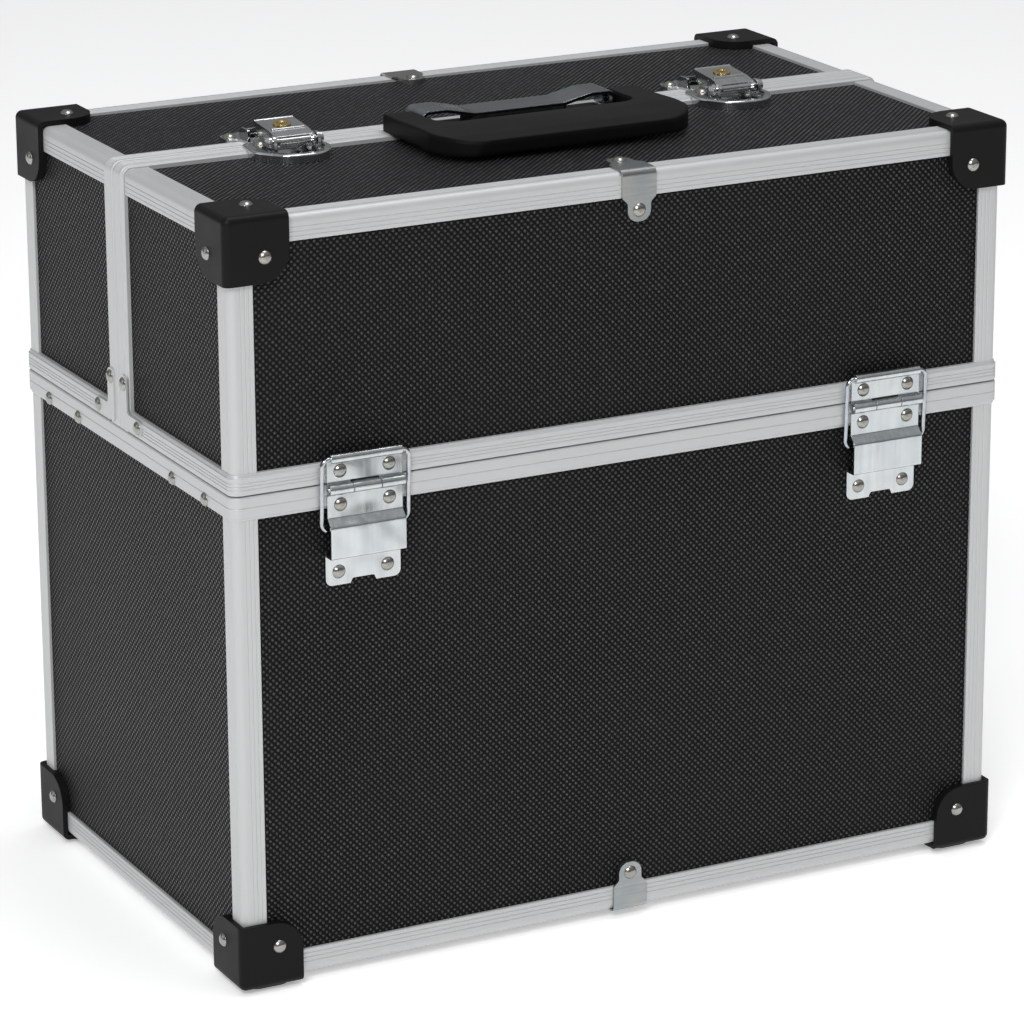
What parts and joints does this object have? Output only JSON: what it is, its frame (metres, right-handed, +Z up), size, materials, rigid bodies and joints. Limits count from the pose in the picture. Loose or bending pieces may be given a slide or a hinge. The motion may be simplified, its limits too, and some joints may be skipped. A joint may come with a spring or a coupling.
{
  "type": "makeup train case",
  "caption": "Rectangular aluminium-framed vanity case whose top splits into two hinged halves that swing out cantilever trays, with keyed latches and a folding handle.",
  "frame": {"origin": "on the floor under the middle of the closed case", "axes": "+X along the width, +Y from the front (long hinged side with the handle folded over it) to the rear, +Z up"},
  "size_m": [0.383, 0.2384, 0.3521],
  "materials": {
    "black_abs_panel": "textured skin with fine raised dots",
    "satin_aluminium": "satin anodised, fine lengthwise grooves",
    "black_protector": "satin moulded",
    "zinc_steel": "bright zinc plate",
    "clip_steel": "nickel plate",
    "stay_wire": "bright wire",
    "rivet_steel": "domed, nickel plate",
    "lining_foam": "black non-woven lining over foam",
    "lock_chrome": "polished",
    "key_brass": "polished",
    "handle_chrome": "polished, slightly dulled",
    "handle_plastic": "fine-grained moulding",
    "arm_steel": "zinc plate",
    "tray_plastic": "moulded, satin"
  },
  "bodies": {
    "base": {"base_bottom_profiles": "satin_aluminium", "base_corner_profiles": "satin_aluminium", "base_edge_clips": "clip_steel", "base_front_panel": "black_abs_panel", "base_lining": "lining_foam", "base_protectors": "black_protector", "base_rear_panel": "black_abs_panel", "base_rim": "satin_aluminium", "base_rivets": "rivet_steel", "base_side_panels": "black_abs_panel", "bottom_panel": "black_abs_panel", "front_hinge_lower_leaves": "zinc_steel", "rear_hinge_lower_leaves": "zinc_steel", "hinge_pins": "zinc_steel", "arm_pivot_rivets": "rivet_steel"},
    "front_lid": {"front_lid_edge_clip": "clip_steel", "front_lid_edge_profiles": "satin_aluminium", "front_lid_hinge_upper_leaves": "zinc_steel", "front_lid_lock_pins": "lock_chrome", "front_lid_lock_plates": "lock_chrome", "front_lid_long_panel": "black_abs_panel", "front_lid_protectors": "black_protector", "front_lid_rim": "satin_aluminium", "front_lid_rivets": "rivet_steel", "front_lid_seam_brackets": "satin_aluminium", "front_lid_seam_profile": "satin_aluminium", "front_lid_side_panels": "black_abs_panel", "front_lid_top_panel": "black_abs_panel", "handle_strap": "handle_chrome", "handle_base": "handle_plastic"},
    "rear_lid": {"rear_lid_edge_clip": "clip_steel", "rear_lid_edge_profiles": "satin_aluminium", "rear_lid_hinge_upper_leaves": "zinc_steel", "rear_lid_long_panel": "black_abs_panel", "rear_lid_protectors": "black_protector", "rear_lid_rim": "satin_aluminium", "rear_lid_rivets": "rivet_steel", "rear_lid_seam_brackets": "satin_aluminium", "rear_lid_seam_profile": "satin_aluminium", "rear_lid_side_panels": "black_abs_panel", "rear_lid_strike_plates": "lock_chrome", "rear_lid_top_panel": "black_abs_panel"},
    "front_stays": {"front_lid_stays": "stay_wire"},
    "rear_stays": {"rear_lid_stays": "stay_wire"},
    "left_lever": {"left_lock_lever": "lock_chrome"},
    "right_lever": {"right_lock_lever": "lock_chrome"},
    "left_claw": {"left_lock_claw": "lock_chrome"},
    "right_claw": {"right_lock_claw": "lock_chrome"},
    "left_key": {"left_key_cylinder": "key_brass"},
    "right_key": {"right_key_cylinder": "key_brass"},
    "handle": {"handle_grip": "handle_plastic", "handle_pins": "handle_chrome"},
    "front_outer_arms": {"front_outer_arms": "arm_steel"},
    "front_inner_arms": {"front_inner_arms": "arm_steel"},
    "rear_outer_arms": {"rear_outer_arms": "arm_steel"},
    "rear_inner_arms": {"rear_inner_arms": "arm_steel"},
    "front_lower_tray": {"front_lower_tray": "tray_plastic"},
    "front_upper_tray": {"front_upper_tray": "tray_plastic"},
    "rear_lower_tray": {"rear_lower_tray": "tray_plastic"},
    "rear_upper_tray": {"rear_upper_tray": "tray_plastic"}
  },
  "joints": [
    {"name": "front_lid_hinge", "type": "hinge", "parent": "base", "child": "front_lid", "pos_m": [0, -0.1168, 0.2217], "axis": [1, 0, 0], "range_deg": [0, 95]},
    {"name": "rear_lid_hinge", "type": "hinge", "parent": "base", "child": "rear_lid", "pos_m": [0, 0.1168, 0.2217], "axis": [-1, 0, 0], "range_deg": [0, 95]},
    {"name": "front_stay_swing", "type": "hinge", "parent": "front_lid", "child": "front_stays", "pos_m": [0, -0.1164, 0.2351], "axis": [1, 0, 0], "range_deg": [-70, 0]},
    {"name": "front_outer_arm_swing", "type": "hinge", "parent": "base", "child": "front_outer_arms", "pos_m": [0, -0.0865, 0.216], "axis": [1, 0, 0], "range_deg": [0, 65]},
    {"name": "front_inner_arm_swing", "type": "hinge", "parent": "base", "child": "front_inner_arms", "pos_m": [0, -0.0523, 0.216], "axis": [1, 0, 0], "range_deg": [0, 65]},
    {"name": "front_lower_tray_level", "type": "hinge", "parent": "front_outer_arms", "child": "front_lower_tray", "pos_m": [0, -0.06212, 0.25501], "axis": [1, 0, 0], "range_deg": [-65, 0]},
    {"name": "front_upper_tray_level", "type": "hinge", "parent": "front_outer_arms", "child": "front_upper_tray", "pos_m": [0, -0.03775, 0.29402], "axis": [1, 0, 0], "range_deg": [-65, 0]},
    {"name": "rear_stay_swing", "type": "hinge", "parent": "rear_lid", "child": "rear_stays", "pos_m": [0, 0.1164, 0.2351], "axis": [-1, 0, 0], "range_deg": [-70, 0]},
    {"name": "rear_outer_arm_swing", "type": "hinge", "parent": "base", "child": "rear_outer_arms", "pos_m": [0, 0.0865, 0.216], "axis": [-1, 0, 0], "range_deg": [0, 51]},
    {"name": "rear_inner_arm_swing", "type": "hinge", "parent": "base", "child": "rear_inner_arms", "pos_m": [0, 0.0523, 0.216], "axis": [-1, 0, 0], "range_deg": [0, 51]},
    {"name": "rear_lower_tray_level", "type": "hinge", "parent": "rear_outer_arms", "child": "rear_lower_tray", "pos_m": [0, 0.06706, 0.25769], "axis": [-1, 0, 0], "range_deg": [-51, 0]},
    {"name": "rear_upper_tray_level", "type": "hinge", "parent": "rear_outer_arms", "child": "rear_upper_tray", "pos_m": [0, 0.04762, 0.29938], "axis": [-1, 0, 0], "range_deg": [-51, 0]},
    {"name": "left_lever_lift", "type": "hinge", "parent": "front_lid", "child": "left_lever", "pos_m": [-0.11, -0.012, 0.3464], "axis": [1, 0, 0], "range_deg": [0, 110]},
    {"name": "left_claw_swing", "type": "hinge", "parent": "left_lever", "child": "left_claw", "pos_m": [-0.11, -0.003, 0.348], "axis": [1, 0, 0], "range_deg": [-25, 0]},
    {"name": "left_key_turn", "type": "hinge", "parent": "left_lever", "child": "left_key", "pos_m": [-0.11, 0.001, 0.35081], "axis": [0, -0.0929, 0.9957], "range_deg": [0, 90]},
    {"name": "right_lever_lift", "type": "hinge", "parent": "front_lid", "child": "right_lever", "pos_m": [0.11, -0.012, 0.3464], "axis": [1, 0, 0], "range_deg": [0, 110]},
    {"name": "right_claw_swing", "type": "hinge", "parent": "right_lever", "child": "right_claw", "pos_m": [0.11, -0.003, 0.348], "axis": [1, 0, 0], "range_deg": [-25, 0]},
    {"name": "right_key_turn", "type": "hinge", "parent": "right_lever", "child": "right_key", "pos_m": [0.11, 0.001, 0.35081], "axis": [0, -0.0929, 0.9957], "range_deg": [0, 90]},
    {"name": "handle_swing", "type": "hinge", "parent": "front_lid", "child": "handle", "pos_m": [0.0012, -0.001, 0.3463], "axis": [-1, 0, 0], "range_deg": [0, 95]}
  ],
  "couplings": [
    {"joint": "front_stay_swing", "follows": "front_lid_hinge", "ratio": -0.67263},
    {"joint": "front_outer_arm_swing", "follows": "front_lid_hinge", "ratio": 0.67368},
    {"joint": "front_inner_arm_swing", "follows": "front_lid_hinge", "ratio": 0.67368},
    {"joint": "front_lower_tray_level", "follows": "front_lid_hinge", "ratio": -0.67368},
    {"joint": "front_upper_tray_level", "follows": "front_lid_hinge", "ratio": -0.67368},
    {"joint": "rear_stay_swing", "follows": "rear_lid_hinge", "ratio": -0.67263},
    {"joint": "rear_outer_arm_swing", "follows": "rear_lid_hinge", "ratio": 0.52632},
    {"joint": "rear_inner_arm_swing", "follows": "rear_lid_hinge", "ratio": 0.52632},
    {"joint": "rear_lower_tray_level", "follows": "rear_lid_hinge", "ratio": -0.52632},
    {"joint": "rear_upper_tray_level", "follows": "rear_lid_hinge", "ratio": -0.52632},
    {"joint": "left_claw_swing", "follows": "left_lever_lift", "ratio": -0.2},
    {"joint": "right_claw_swing", "follows": "right_lever_lift", "ratio": -0.2}
  ]
}
